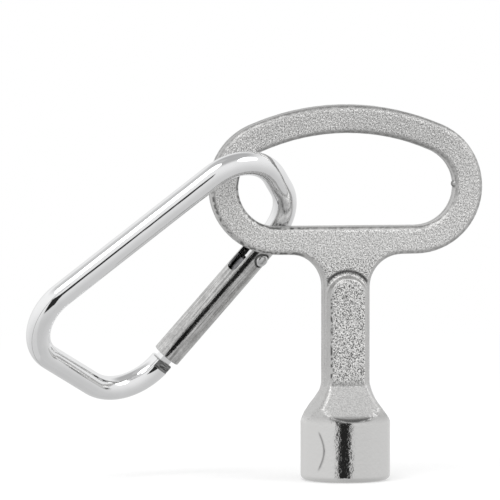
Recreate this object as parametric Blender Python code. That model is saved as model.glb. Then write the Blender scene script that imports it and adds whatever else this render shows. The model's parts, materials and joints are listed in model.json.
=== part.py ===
"""Triangular-socket service key with a small spring-gate carabiner linked through its handle.

Metres, +Z up. The origin is the centre of the socket's mouth. The stem runs up +Z, the
handle's loop lies in the XZ plane, and -Y is the front.
"""
from math import atan2, ceil, cos, hypot, pi, radians, sin, sqrt, tan

import bmesh
import bpy
from mathutils import Matrix, Vector

MM = 0.001

# Handle: one long arc on top, two round ends and a straight lower bar
END_CENTRE = (10.95 * MM, 45.8 * MM)
END_RADIUS = 10.5 * MM
TOP_HEIGHT = 58.6 * MM
TOP_RADIUS = 37.5 * MM
BAR_WIDTH = 4.4 * MM
PLATE_THICKNESS = 4.0 * MM
PLATE_EDGE = 0.85 * MM
WEB_FILLET = 5.1 * MM

# Stem: a thicker rib whose round top stands proud of the plate, drafted towards its two faces
STEM_WIDTH = 7.6 * MM
STEM_DEPTH = 6.5 * MM
STEM_TOP = 32.7 * MM
STEM_DRAFT = 1.05 * MM
STEM_EDGE = 0.3 * MM
STEM_FOOT = 13.0 * MM
STEM_TOP_STEPS = 20
WEB_FOOT = 13.5 * MM
WEB_UNDERCUT = 0.15 * MM
WEB_DROP = 0.03 * MM

# Flare and barrel
FLARE_TOP = 16.0 * MM
FLARE_BOTTOM = 9.2 * MM
FLARE_POWER = 1.7
FOOT_UNDERCUT = 0.05 * MM
FACE_START = 14.9 * MM
FACE_END = 10.3 * MM
FACE_END_DEPTH = 6.05 * MM
LEDGE_END = 9.5 * MM
LEDGE_END_DEPTH = 7.05 * MM
BARREL_DIAMETER = 14.0 * MM
BARREL_EDGE = 0.9 * MM
FOOT_CORNER_GROWTH = 1.2 * MM
FOOT_OVERLAP = 1.0 * MM

# Socket: an equilateral triangle with rounded corners, one corner towards +X
TRIANGLE_HEIGHT = 9.3 * MM
TRIANGLE_CORNER = 0.6 * MM
SOCKET_DEPTH = 8.5 * MM
DRILL_POINT_DIAMETER = 3.2 * MM
DRILL_POINT_DEPTH = 0.6 * MM
DRILL_POINT_TIP = 0.1 * MM

# Carabiner: a bent rod in its own plane. U runs along its spine, V across towards the spine
LOOP_PIVOT = Vector((-13.52, 5.05, 35.15)) * MM
LOOP_PITCH = radians(38.8)
LOOP_ROLL = radians(38.5)
ROD_DIAMETER = 3.75 * MM
ROD_CHAMFER = 0.25 * MM
TOP_U = 9.8 * MM
HINGE_CORNER_U = 8.9 * MM
BOTTOM_U = -38.0 * MM
SPINE_V_TOP = 19.2 * MM
SPINE_V_BOTTOM = 20.7 * MM
GATE_SPLAY = radians(14.1)
NOSE_CORNER_U = -30.4 * MM
HINGE_BEND = 7.2 * MM
TOP_BEND = 8.4 * MM
BOTTOM_BEND = 7.2 * MM
NOSE_BEND = 8.85 * MM

# Gate: X runs from its hinge to its nose, +Z is the loop's outside
TUBE_DIAMETER = 4.5 * MM
TUBE_BORE = 3.7 * MM
TUBE_LIP = 0.12 * MM
TUBE_START = -2.6 * MM
TUBE_END = 21.3 * MM
NOSE_SHOULDER = 22.2 * MM
HINGE_SHOULDER = -3.55 * MM
TONGUE_END = 1.4 * MM
TONGUE_HEIGHT = 2.4 * MM
TONGUE_THICKNESS = 1.4 * MM
TONGUE_CORNER = 0.2 * MM
CAM_FLAT = 0.7 * MM
ROOT_OVERLAP = 0.6 * MM
HINGE_SLOT_END = 4.2 * MM
HINGE_SLOT_WIDTH = 2.0 * MM
HINGE_SLOT_CORNER = 0.8 * MM
NOSE_HEAD = (18.9 * MM, 19.8 * MM)
NOSE_HEAD_THICKNESS = 2.2 * MM
NOSE_NECK_THICKNESS = 1.3 * MM
NOSE_HEIGHT = 2.3 * MM
NOSE_CORNER = 0.25 * MM
SLOT_GAP = 0.3 * MM
STOP_AT = 15.0 * MM
STOP_THICKNESS = 0.6 * MM
STOP_HOLE_RADIUS = 0.4 * MM
RIVET_DIAMETER = 1.3 * MM
RIVET_HEAD = 2.0 * MM
RIVET_HEIGHT = 0.45 * MM
RIVET_HOLE = 1.55 * MM
RIVET_SEAT = 2.1 * MM
RIVET_RIM = 0.1 * MM
RIVET_GAP = 0.03 * MM
RIVET_SEAT_GAP = 0.15 * MM
PLUNGER_START = 1.55 * MM
PLUNGER_SHOULDER = 6.0 * MM
PLUNGER_END = 8.6 * MM
PLUNGER_DIAMETER = 3.1 * MM
GUIDE_DIAMETER = 1.6 * MM
PLUNGER_LIP = 0.2 * MM
SPRING_START = 6.8 * MM
SPRING_END = 14.7 * MM
SPRING_DIAMETER = 2.6 * MM
SPRING_WIRE = 0.35 * MM
SPRING_TURNS = 9
SPRING_POINTS_PER_TURN = 14

CHORD_GAP = 0.012 * MM
CUT_PAST = 4.0 * MM
WELD = 1e-7


def clear_scene():
    for thing in list(bpy.data.objects):
        bpy.data.objects.remove(thing, do_unlink=True)


def material(name, colour, roughness, metallic):
    made = bpy.data.materials.new(name)
    made.use_nodes = True
    shader = made.node_tree.nodes["Principled BSDF"]
    shader.inputs["Base Color"].default_value = (*colour, 1.0)
    shader.inputs["Roughness"].default_value = roughness
    shader.inputs["Metallic"].default_value = metallic
    return made


def place(name, data, parent=None, finish=None):
    """Put mesh or curve data in the scene as a named object."""
    thing = bpy.data.objects.new(name, data)
    bpy.context.scene.collection.objects.link(thing)
    thing.parent = parent
    if finish:
        data.materials.append(finish)
    return thing


def empty(name, location, rotation, parent=None):
    marker = bpy.data.objects.new(name, None)
    bpy.context.scene.collection.objects.link(marker)
    marker.parent = parent
    marker.location = location
    marker.rotation_euler = rotation
    return marker


def mesh_from(form, name, sharp=radians(35)):
    """Weld a bmesh, face it outwards, and hand it over as a smooth-shaded mesh."""
    bmesh.ops.remove_doubles(form, verts=form.verts, dist=WELD)
    bmesh.ops.recalc_face_normals(form, faces=form.faces)
    mesh = bpy.data.meshes.new(name)
    form.to_mesh(mesh)
    form.free()
    mesh.shade_smooth()
    mesh.set_sharp_from_angle(angle=sharp)
    return mesh


def combine(thing, other, operation):
    """Boolean one object with another, and keep the other as a hidden guide."""
    step = thing.modifiers.new(other.name, "BOOLEAN")
    step.operation = operation
    step.object = other
    other.hide_render = True
    other.display_type = "WIRE"


def arc(centre, radius, start, end, steps=None):
    """Points on an arc, both ends included, close enough together for its radius."""
    steps = steps or max(2, ceil(abs(end - start) / sqrt(8 * CHORD_GAP / radius)))
    turn = [start + (end - start) * k / steps for k in range(steps + 1)]
    return [(centre[0] + radius * cos(a), centre[1] + radius * sin(a)) for a in turn]


def rounded_path(corners, radii):
    """An open path through the corners, each inner corner turned into an arc."""
    path = [Vector(corners[0])]
    for before, corner, after, radius in zip(corners, corners[1:], corners[2:], radii):
        to_before = (Vector(before) - Vector(corner)).normalized()
        to_after = (Vector(after) - Vector(corner)).normalized()
        half = to_before.angle(to_after) / 2
        centre = Vector(corner) + (to_before + to_after).normalized() * radius / sin(half)
        first = Vector(corner) + to_before * radius / tan(half) - centre
        last = Vector(corner) + to_after * radius / tan(half) - centre
        start = atan2(first.y, first.x)
        turn = (atan2(last.y, last.x) - start + pi) % (2 * pi) - pi
        path += [Vector(p) for p in arc(centre, radius, start, start + turn)]
    return path + [Vector(corners[-1])]


def plate(name, outlines, thickness, edge):
    """A flat plate in the XZ plane, extruded from closed outlines, with rounded edges."""
    curve = bpy.data.curves.new(name, "CURVE")
    curve.dimensions = "2D"
    curve.fill_mode = "BOTH"
    curve.extrude = thickness / 2 - edge
    curve.bevel_depth = edge
    curve.bevel_resolution = 2
    curve.render_resolution_u = 0
    for outline in outlines:
        spline = curve.splines.new("POLY")
        spline.points.add(len(outline) - 1)
        for point, (x, z) in zip(spline.points, outline):
            point.co = (x, z, 0.0, 1.0)
        spline.use_cyclic_u = True
    flat = bpy.data.objects.new(name + "_curve", curve)
    form = bmesh.new()
    raw = flat.to_mesh()
    form.from_mesh(raw)
    flat.to_mesh_clear()
    bpy.data.objects.remove(flat)
    bmesh.ops.rotate(form, verts=form.verts, matrix=Matrix.Rotation(pi / 2, 3, "X"))
    return mesh_from(form, name)


def handle_top_centre(inset):
    return (0.0, TOP_HEIGHT - TOP_RADIUS), TOP_RADIUS - inset


def handle_loop(inset):
    """The handle's outline, moved inwards by the inset, anticlockwise from the right."""
    top, top_radius = handle_top_centre(inset)
    meet = atan2(END_CENTRE[1] - top[1], END_CENTRE[0])
    end_radius = END_RADIUS - inset
    left = (-END_CENTRE[0], END_CENTRE[1])
    points = arc(END_CENTRE, end_radius, -pi / 2, meet)
    points += arc(top, top_radius, meet, pi - meet)[1:-1]
    points += arc(left, end_radius, pi - meet, 3 * pi / 2)
    return points


def handle_outline(inset):
    """The loop's outline with the web that runs down into the stem."""
    half = STEM_WIDTH / 2 - WEB_UNDERCUT - inset
    radius = WEB_FILLET + inset
    centre = (half + radius, END_CENTRE[1] - END_RADIUS - WEB_FILLET - WEB_DROP)
    right = arc(centre, radius, pi, pi / 2)
    left = [(-x, z) for x, z in reversed(right)]
    return handle_loop(inset) + left + [(-half, WEB_FOOT), (half, WEB_FOOT)] + right


def stem_outline(inset):
    """The rib's outline: parallel sides under a half-round top."""
    half = STEM_WIDTH / 2 - inset
    top = arc((0.0, STEM_TOP - STEM_WIDTH / 2), half, 0.0, pi, STEM_TOP_STEPS)
    return top + [(-half, STEM_FOOT), (half, STEM_FOOT)]


def loft(rings, closed=False):
    """Skin rings of equal length; capped at both ends, or joined end to end if closed."""
    form = bmesh.new()
    loops = [[form.verts.new(point) for point in ring] for ring in rings]
    count = len(loops[0])
    pairs = list(zip(loops, loops[1:]))
    if closed:
        pairs.append((loops[-1], loops[0]))
    for low, high in pairs:
        for k in range(count):
            after = (k + 1) % count
            form.faces.new((low[k], low[after], high[after], high[k]))
    if not closed:
        form.faces.new(loops[0])
        form.faces.new(loops[-1])
    return form


def turned(profile, sides, closed=False):
    """Turn a profile of (x, radius) about the X axis."""
    angles = [2 * pi * k / sides for k in range(sides)]
    rings = [[(x, r * cos(a), r * sin(a)) for a in angles] for x, r in profile]
    return loft(rings, closed)


def rib_form():
    """The rib, widest at its middle and drafted to each face, with eased edges."""
    depth = STEM_DEPTH / 2
    levels = []
    for a in (pi / 2, pi / 3, pi / 6, 0.0):
        y = depth - STEM_EDGE * (1 - sin(a))
        levels.append((y, STEM_DRAFT * y / depth + STEM_EDGE * (1 - cos(a))))
    front = [(-y, inset) for y, inset in levels]
    rings = []
    for y, inset in [*front, (0.0, 0.0), *reversed(levels)]:
        rings.append([(x, y, z) for x, z in stem_outline(inset)])
    return loft(rings)


def section(half_x, half_y, corner, draft, z, limit):
    """A rounded rectangle with drafted sides at height z, held inside a circle of radius limit."""
    flat_steps, corner_steps = 8, 8
    inner_x, inner_y = half_x - corner, half_y - corner
    points = []
    for quarter in range(4):
        turn = quarter * pi / 2
        signs = ((1, 1), (-1, 1), (-1, -1), (1, -1))[quarter]
        centre = (signs[0] * inner_x, signs[1] * inner_y)
        points += arc(centre, corner, turn, turn + pi / 2, corner_steps)
        span = 2 * (inner_x if quarter % 2 == 0 else inner_y)
        start = Vector(points[-1])
        along = Vector((cos(turn + pi), sin(turn + pi)))
        points += [tuple(start + along * span * k / flat_steps) for k in range(1, flat_steps)]
    held = []
    for x, y in points:
        x *= 1 - draft / half_x * abs(y) / half_y
        reach = hypot(x, y)
        shrink = min(1.0, limit / reach)
        held.append((x * shrink, y * shrink, z))
    return held


def blend(value, low, high):
    return min(1.0, max(0.0, (value - low) / (high - low)))


def foot_half_width(z):
    share = blend(FLARE_TOP - z, 0.0, FLARE_TOP - FLARE_BOTTOM)
    start = STEM_WIDTH / 2 - FOOT_UNDERCUT
    return start + (BARREL_DIAMETER / 2 - start) * share**FLARE_POWER


def foot_half_depth(z):
    """The sloping front face, then the steeper ledge at its foot."""
    face = blend(FACE_START - z, 0.0, FACE_START - FACE_END)
    ledge = blend(FACE_END - z, 0.0, FACE_END - LEDGE_END)
    start = STEM_DEPTH / 2 - FOOT_UNDERCUT
    depth = start + (FACE_END_DEPTH - start) * face
    return depth + (LEDGE_END_DEPTH - FACE_END_DEPTH) * ledge


def foot_form():
    """Flare and barrel, one skin from the stem down to the socket's mouth."""
    radius = BARREL_DIAMETER / 2
    levels = [FLARE_TOP + FOOT_OVERLAP, FLARE_TOP, (FLARE_TOP + FACE_START) / 2, FACE_START]
    steps = 8
    levels += [FACE_START + (FACE_END - FACE_START) * k / steps for k in range(1, steps + 1)]
    levels += [(2 * FACE_END + LEDGE_END) / 3, (FACE_END + 2 * LEDGE_END) / 3, LEDGE_END, FLARE_BOTTOM]
    rings = []
    for z in levels:
        share = blend(FLARE_TOP - z, 0.0, FLARE_TOP - FLARE_BOTTOM)
        corner = STEM_EDGE + FOOT_CORNER_GROWTH * share
        draft = STEM_DRAFT * (1 - share)
        rings.append(section(foot_half_width(z), foot_half_depth(z), corner, draft, z, radius))
    last = rings[-1]
    for a in (0, pi / 6, pi / 3, pi / 2):
        inset = BARREL_EDGE * (1 - cos(a))
        z = BARREL_EDGE * (1 - sin(a))
        shrink = (radius - inset) / radius
        rings.append([(x * shrink, y * shrink, z) for x, y, _ in last])
    return loft(rings)


def socket_outline():
    """The triangle's corners and flats, with one corner towards +X."""
    flat = (TRIANGLE_HEIGHT + TRIANGLE_CORNER) / 3
    corner_reach = 2 * (flat - TRIANGLE_CORNER)
    points = []
    for k in range(3):
        turn = k * 2 * pi / 3
        centre = (corner_reach * cos(turn), corner_reach * sin(turn))
        points += arc(centre, TRIANGLE_CORNER, turn - pi / 3, turn + pi / 3, 8)
    return points


def socket_form():
    outline = socket_outline()
    return loft([[(x, y, z) for x, y in outline] for z in (-CUT_PAST, SOCKET_DEPTH)])


def drill_point_form():
    """The shallow cone in the middle of the socket's floor."""
    overlap = DRILL_POINT_DEPTH
    radius = DRILL_POINT_DIAMETER / 2
    profile = ((0, radius), (overlap, radius), (overlap + DRILL_POINT_DEPTH, DRILL_POINT_TIP))
    form = turned(profile, 24)
    bmesh.ops.rotate(form, verts=form.verts, matrix=Matrix.Rotation(-pi / 2, 3, "Y"))
    bmesh.ops.translate(form, verts=form.verts, vec=(0, 0, SOCKET_DEPTH - overlap))
    return form


def box_form(low, high, bevel=0.0, edges_along=None):
    """A box between two corners, its edges along one axis rounded."""
    form = bmesh.new()
    bmesh.ops.create_cube(form, size=1.0)
    size = Vector(high) - Vector(low)
    bmesh.ops.scale(form, verts=form.verts, vec=size)
    bmesh.ops.translate(form, verts=form.verts, vec=(Vector(high) + Vector(low)) / 2)
    if bevel:
        chosen = []
        for edge in form.edges:
            along = (edge.verts[1].co - edge.verts[0].co).normalized()
            if abs(along[edges_along]) > 0.9:
                chosen.append(edge)
        bmesh.ops.bevel(form, geom=chosen, offset=bevel, segments=4, profile=0.5, affect="EDGES")
    return form


def key_body(finish):
    body = place("key_body", mesh_from(foot_form(), "key_body", radians(30)), finish=finish)
    outlines = [handle_outline(PLATE_EDGE), handle_loop(BAR_WIDTH - PLATE_EDGE)]
    handle = place("handle_guide", plate("handle", outlines, PLATE_THICKNESS, PLATE_EDGE))
    rib = place("rib_guide", mesh_from(rib_form(), "rib"))
    socket = place("socket_guide", mesh_from(socket_form(), "socket"))
    drill_point = place("drill_point_guide", mesh_from(drill_point_form(), "drill_point"))
    combine(body, rib, "UNION")
    combine(body, handle, "UNION")
    combine(body, socket, "DIFFERENCE")
    combine(body, drill_point, "DIFFERENCE")
    return body


def loop_path():
    """The rod's centre line in the loop's plane, from the hinge shoulder to the nose."""
    splay = Vector((cos(GATE_SPLAY), sin(GATE_SPLAY)))
    slope = tan(GATE_SPLAY)
    corners = [
        splay * -HINGE_SHOULDER,
        (HINGE_CORNER_U, HINGE_CORNER_U * slope),
        (TOP_U, SPINE_V_TOP),
        (BOTTOM_U, SPINE_V_BOTTOM),
        (NOSE_CORNER_U, NOSE_CORNER_U * slope),
        splay * -NOSE_SHOULDER,
    ]
    return rounded_path(corners, (HINGE_BEND, TOP_BEND, BOTTOM_BEND, NOSE_BEND))


def wire(name, points, diameter, sides_step, chamfer=0.0):
    """A round rod along 3D points, closed by flat ends."""
    curve = bpy.data.curves.new(name, "CURVE")
    curve.dimensions = "3D"
    curve.bevel_depth = diameter / 2
    curve.bevel_resolution = sides_step
    curve.use_fill_caps = True
    curve.render_resolution_u = 0
    radii = [1.0] * len(points)
    if chamfer:
        first = (points[1] - points[0]).normalized() * chamfer
        last = (points[-2] - points[-1]).normalized() * chamfer
        points = [points[0], points[0] + first, *points[1:-1], points[-1] + last, points[-1]]
        end = 1 - 2 * chamfer / diameter
        radii = [end] + [1.0] * (len(points) - 2) + [end]
    spline = curve.splines.new("POLY")
    spline.points.add(len(points) - 1)
    for point, co, radius in zip(spline.points, points, radii):
        point.co = (*co, 1.0)
        point.radius = radius
    lone = bpy.data.objects.new(name + "_curve", curve)
    form = bmesh.new()
    form.from_mesh(lone.to_mesh())
    lone.to_mesh_clear()
    bpy.data.objects.remove(lone)
    return form


def tongue_form():
    """The flat at the hinge end: its outer corner is round, its inner corner is a cam."""
    reach = TONGUE_HEIGHT / 2
    back = HINGE_SHOULDER - ROOT_OVERLAP
    corner = TONGUE_CORNER
    outline = [(back, -reach), (TONGUE_END - corner, -reach), (TONGUE_END, corner - reach)]
    outline += [(TONGUE_END, 0.0)]
    lift = atan2(CAM_FLAT, reach)
    outline += arc((0.0, 0.0), reach, lift, pi / 2, 6)
    outline += [(back, reach)]
    half = TONGUE_THICKNESS / 2
    return loft([[(x, y, z) for x, z in outline] for y in (-half, half)])


def carabiner_body(loop, gate, finish):
    points = [Vector((u, 0.0, v)) for u, v in loop_path()]
    rod = mesh_from(wire("rod", points, ROD_DIAMETER, 8, ROD_CHAMFER), "carabiner_body")
    body = place("carabiner_body", rod, loop, finish)
    tongue = place("tongue_guide", mesh_from(tongue_form(), "tongue"), gate)
    height = NOSE_HEIGHT / 2
    neck = box_form(
        (NOSE_HEAD[1] - NOSE_CORNER, -NOSE_NECK_THICKNESS / 2, -height),
        (NOSE_SHOULDER + ROOT_OVERLAP, NOSE_NECK_THICKNESS / 2, height),
    )
    head = box_form(
        (NOSE_HEAD[0], -NOSE_HEAD_THICKNESS / 2, -height),
        (NOSE_HEAD[1], NOSE_HEAD_THICKNESS / 2, height),
        NOSE_CORNER,
        1,
    )
    neck_guide = place("nose_neck_guide", mesh_from(neck, "nose_neck"), gate)
    head_guide = place("nose_head_guide", mesh_from(head, "nose_head"), gate)
    hole = turned(((-CUT_PAST, RIVET_HOLE / 2), (CUT_PAST, RIVET_HOLE / 2)), 20)
    bmesh.ops.rotate(hole, verts=hole.verts, matrix=Matrix.Rotation(pi / 2, 3, "Z"))
    hole_guide = place("tongue_hole_guide", mesh_from(hole, "tongue_hole"), gate)
    combine(body, tongue, "UNION")
    combine(neck_guide, head_guide, "UNION")
    combine(body, neck_guide, "UNION")
    combine(body, hole_guide, "DIFFERENCE")
    return body


def gate_sleeve(gate, finish):
    """The tube of the gate, slotted at the hinge inside and at the nose outside."""
    outer, bore = TUBE_DIAMETER / 2, TUBE_BORE / 2
    lip = TUBE_LIP
    profile = [
        (TUBE_START, bore),
        (TUBE_START, outer - lip),
        (TUBE_START + lip, outer),
        (TUBE_END - lip, outer),
        (TUBE_END, outer - lip),
        (TUBE_END, bore),
        (STOP_AT + STOP_THICKNESS, bore),
        (STOP_AT + STOP_THICKNESS, STOP_HOLE_RADIUS),
        (STOP_AT, STOP_HOLE_RADIUS),
        (STOP_AT, bore),
    ]
    tube = place("gate_sleeve", mesh_from(turned(profile, 32, True), "gate_sleeve"), gate, finish)
    far = CUT_PAST
    slots = {
        "hinge_slot": box_form(
            (TUBE_START - far, -HINGE_SLOT_WIDTH / 2, -far),
            (HINGE_SLOT_END, HINGE_SLOT_WIDTH / 2, 0.0),
            HINGE_SLOT_CORNER,
            2,
        ),
        "nose_slot": box_form(
            (NOSE_HEAD[1] - SLOT_GAP, -NOSE_NECK_THICKNESS / 2 - SLOT_GAP, 0.0),
            (TUBE_END + far, NOSE_NECK_THICKNESS / 2 + SLOT_GAP, far),
        ),
        "nose_head_slot": box_form(
            (NOSE_HEAD[0] - SLOT_GAP, -NOSE_HEAD_THICKNESS / 2 - SLOT_GAP, 0.0),
            (NOSE_HEAD[1] + SLOT_GAP, NOSE_HEAD_THICKNESS / 2 + SLOT_GAP, far),
        ),
    }
    quarter = Matrix.Rotation(pi / 2, 3, "Z")
    slots["rivet_hole"] = turned(((-far, RIVET_HOLE / 2), (far, RIVET_HOLE / 2)), 20)
    seat = RIVET_HEAD / 2 + RIVET_SEAT_GAP
    slots["front_seat"] = turned(((-far, seat), (-RIVET_SEAT, seat)), 24)
    slots["back_seat"] = turned(((RIVET_SEAT, seat), (far, seat)), 24)
    for name in ("rivet_hole", "front_seat", "back_seat"):
        bmesh.ops.rotate(slots[name], verts=slots[name].verts, matrix=quarter)
    for name, form in slots.items():
        combine(tube, place(name + "_guide", mesh_from(form, name), gate), "DIFFERENCE")
    return tube


def hinge_rivet(gate, finish):
    """A pin with a domed head at each end, along the hinge's axis."""
    shank, head = RIVET_DIAMETER / 2, RIVET_HEAD / 2
    seat = RIVET_SEAT + RIVET_GAP
    rise = [k * pi / 10 for k in range(5)]
    dome = [(seat + RIVET_RIM + RIVET_HEIGHT * sin(a), head * cos(a)) for a in rise]
    right = [(seat, shank), (seat, head)] + dome
    left = [(-x, r) for x, r in reversed(right)]
    form = turned(left + right, 24)
    bmesh.ops.rotate(form, verts=form.verts, matrix=Matrix.Rotation(pi / 2, 3, "Z"))
    return place("hinge_rivet", mesh_from(form, "hinge_rivet"), gate, finish)


def gate_plunger(gate, finish):
    """The pin that the tongue's cam pushes back against the spring."""
    full, guide = PLUNGER_DIAMETER / 2, GUIDE_DIAMETER / 2
    lip = PLUNGER_LIP
    profile = (
        (PLUNGER_START, full - lip),
        (PLUNGER_START + lip, full),
        (PLUNGER_SHOULDER, full),
        (PLUNGER_SHOULDER, guide),
        (PLUNGER_END - lip, guide),
        (PLUNGER_END, guide - lip),
    )
    return place("gate_plunger", mesh_from(turned(profile, 24), "gate_plunger"), gate, finish)


def gate_spring(gate, finish):
    """A helix between the plunger's shoulder and the tube's stop."""
    radius = SPRING_DIAMETER / 2
    steps = SPRING_TURNS * SPRING_POINTS_PER_TURN
    points = []
    for k in range(steps + 1):
        a = 2 * pi * k / SPRING_POINTS_PER_TURN
        x = SPRING_START + (SPRING_END - SPRING_START) * k / steps
        points.append(Vector((x, radius * cos(a), radius * sin(a))))
    form = wire("spring", points, SPRING_WIRE, 1)
    return place("gate_spring", mesh_from(form, "gate_spring"), gate, finish)


def build():
    clear_scene()
    zinc = material("cast_zinc", (0.62, 0.62, 0.61), 0.42, 1.0)
    bright = material("bright_aluminium", (0.86, 0.87, 0.88), 0.12, 1.0)
    brushed = material("brushed_gate", (0.60, 0.60, 0.60), 0.25, 1.0)
    steel = material("rivet_steel", (0.70, 0.70, 0.70), 0.2, 1.0)
    dark = material("plunger_steel", (0.22, 0.22, 0.23), 0.35, 1.0)
    spring = material("spring_steel", (0.45, 0.45, 0.46), 0.3, 1.0)
    key_body(zinc)
    loop = empty("carabiner_frame", LOOP_PIVOT, (LOOP_ROLL, -LOOP_PITCH, 0.0))
    gate = empty("gate_frame", (0, 0, 0), (0.0, pi - GATE_SPLAY, 0.0), loop)
    carabiner_body(loop, gate, bright)
    gate_sleeve(gate, brushed)
    hinge_rivet(gate, steel)
    gate_plunger(gate, dark)
    gate_spring(gate, spring)


build()
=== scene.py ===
import json
from math import atan2, ceil, cos, pi, radians, sin, tan

import bmesh
import bpy
import numpy as np
from mathutils import Matrix, Vector, noise


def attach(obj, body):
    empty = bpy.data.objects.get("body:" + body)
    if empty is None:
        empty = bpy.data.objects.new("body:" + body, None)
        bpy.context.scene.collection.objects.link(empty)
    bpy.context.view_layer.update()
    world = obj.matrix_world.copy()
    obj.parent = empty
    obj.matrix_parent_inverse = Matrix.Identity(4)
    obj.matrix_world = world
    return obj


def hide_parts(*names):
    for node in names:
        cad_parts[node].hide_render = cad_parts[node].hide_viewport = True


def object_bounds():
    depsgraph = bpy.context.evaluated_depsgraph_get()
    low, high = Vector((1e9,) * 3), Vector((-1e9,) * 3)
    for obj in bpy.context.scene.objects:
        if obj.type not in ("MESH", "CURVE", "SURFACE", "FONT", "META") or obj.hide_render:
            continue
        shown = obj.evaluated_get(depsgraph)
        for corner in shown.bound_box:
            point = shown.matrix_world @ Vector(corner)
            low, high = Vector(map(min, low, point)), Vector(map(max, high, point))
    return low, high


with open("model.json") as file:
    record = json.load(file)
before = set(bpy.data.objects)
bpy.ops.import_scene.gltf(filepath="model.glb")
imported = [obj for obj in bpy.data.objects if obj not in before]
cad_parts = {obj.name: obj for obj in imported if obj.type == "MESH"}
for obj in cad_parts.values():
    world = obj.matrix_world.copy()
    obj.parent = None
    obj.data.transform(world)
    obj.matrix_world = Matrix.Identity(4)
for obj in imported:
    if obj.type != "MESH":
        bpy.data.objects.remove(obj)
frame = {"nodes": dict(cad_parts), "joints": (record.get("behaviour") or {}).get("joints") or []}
CAD_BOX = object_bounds()
MM = 0.001

# View: a long lens, a little to the left of the key's front and a little above it
VIEW_AZIMUTH = radians(-8.5)
VIEW_ELEVATION = radians(3.7)
VIEW_DISTANCE = 1.0
VIEW_WIDTH = 78.0 * MM
SENSOR = 36.0
LOOK_HEIGHT = 29.0 * MM
LOOK_ACROSS = -14.88 * MM
LOOK_UP = 6.88 * MM

# Key casting, with its barrel's end face at height 0
CAST_VOXEL = 0.15 * MM
RELAX_ROUNDS = 4
BARREL_RADIUS = 7.0 * MM
BARREL_TOP = 9.2 * MM
BARREL_EDGE = 0.9 * MM
BARREL_SKIN = 0.3 * MM
END_FACE = 0.05 * MM
SOCKET_FLOOR = 8.5 * MM
SOCKET_REACH = 6.0 * MM
SOCKET_MOUTH = 0.1 * MM
RIB_FACE = 3.25 * MM
RIB_RADIUS = 3.8 * MM
RIB_FACE_HALF = 2.75 * MM
RIB_TOP = 32.7 * MM
NUB_CENTRE = (16.95 * MM, -0.9 * MM, 46.2 * MM)
NUB_RADII = (0.45 * MM, 0.7 * MM, 0.55 * MM)
LUMP_SIZE = 1.3 * MM
LUMP_HEIGHT = 0.012 * MM
GRAIN_SIZE = 0.33 * MM
GRAIN_HEIGHT = 0.010 * MM

# Seam on the barrel: a raised line that bows towards the middle
SEAM_ACROSS = -5.0 * MM
SEAM_BOW = 0.75 * MM
SEAM_FOOT = 2.0 * MM
SEAM_LENGTH = 6.0 * MM
SEAM_WIDTH = 0.13 * MM
SEAM_RISE = 0.07 * MM
SEAM_STARTS = (1.6 * MM, 2.6 * MM)
SEAM_ENDS = (7.4 * MM, 8.2 * MM)

# Finishes of the casting: heights where each starts, and how far its surface faces front or back
SLOPE_STARTS = (9.0 * MM, 10.5 * MM)
STEM_STARTS = (14.2 * MM, 16.5 * MM)
FLAT_FACING = (0.90, 0.985)
SLOPE_FACING = (0.75, 0.93)

# Painted shade and dark lines on the casting: shade in its corners, along the rib's edge and on the loop's
# rims, and darker lines along the parting line and seam and round the nub. Each pair is where a line of it
# starts to change and where it has changed
SHADE_LINE = (0.12 * MM, 0.42 * MM)
DASH_SIZE = 0.45 * MM
DASHES = (-0.15, 0.12)
ARCH_DEPTH = (1.9 * MM, 1.98 * MM)
CRESCENT_TOP = 10.05 * MM
CRESCENT_SAG = 0.35 * MM
CRESCENT_HALF = 3.4 * MM
CRESCENT_ENDS = (2.6 * MM, 3.8 * MM)
CRESCENT_DEPTH = (5.4 * MM, 5.9 * MM)
RIB_EDGE_INSET = 0.02 * MM
RIB_EDGE_LINE = (0.08 * MM, 0.24 * MM)
RIB_EDGE_DEPTH = (RIB_FACE - 0.35 * MM, RIB_FACE - 0.15 * MM)
RIB_EDGE_STARTS = (15.0 * MM, 16.0 * MM)
RIB_EDGE_ENDS = (28.0 * MM, 30.0 * MM)
RIM_STARTS = (0.35, 0.55)
RIM_ENDS = (0.80, 0.95)
RIM_HEIGHT = (34.0 * MM, 35.5 * MM)
LOW_LOOP = (46.0 * MM, 49.0 * MM)
LEFT_LOOP = (-9.0 * MM, -5.0 * MM)
NUB_DARKENING = (0.40 * MM, 0.80 * MM)
PARTING_LINE = (0.10 * MM, 0.32 * MM)
PARTING_HEIGHT = (30.0 * MM, 34.0 * MM)
PARTING_FACING = (0.3, 0.6)

# Carabiner rod: U runs along the spine, V across towards the spine, from the gate's hinge
GATE_SPLAY = radians(14.1)
ROD_RADIUS = 1.875 * MM
ROD_EASE = 0.18 * MM
ROD_STEP = 1.0 * MM
ROD_SIDES = 56
TOP_U = 9.8 * MM
HINGE_CORNER_U = 8.9 * MM
BOTTOM_U = -38.0 * MM
SPINE_V_TOP = 19.2 * MM
SPINE_V_BOTTOM = 20.7 * MM
NOSE_CORNER_U = -30.4 * MM
BENDS = (7.2 * MM, 8.4 * MM, 7.2 * MM, 8.85 * MM)
HINGE_SHOULDER = -3.55 * MM
NOSE_SHOULDER = 22.2 * MM

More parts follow.
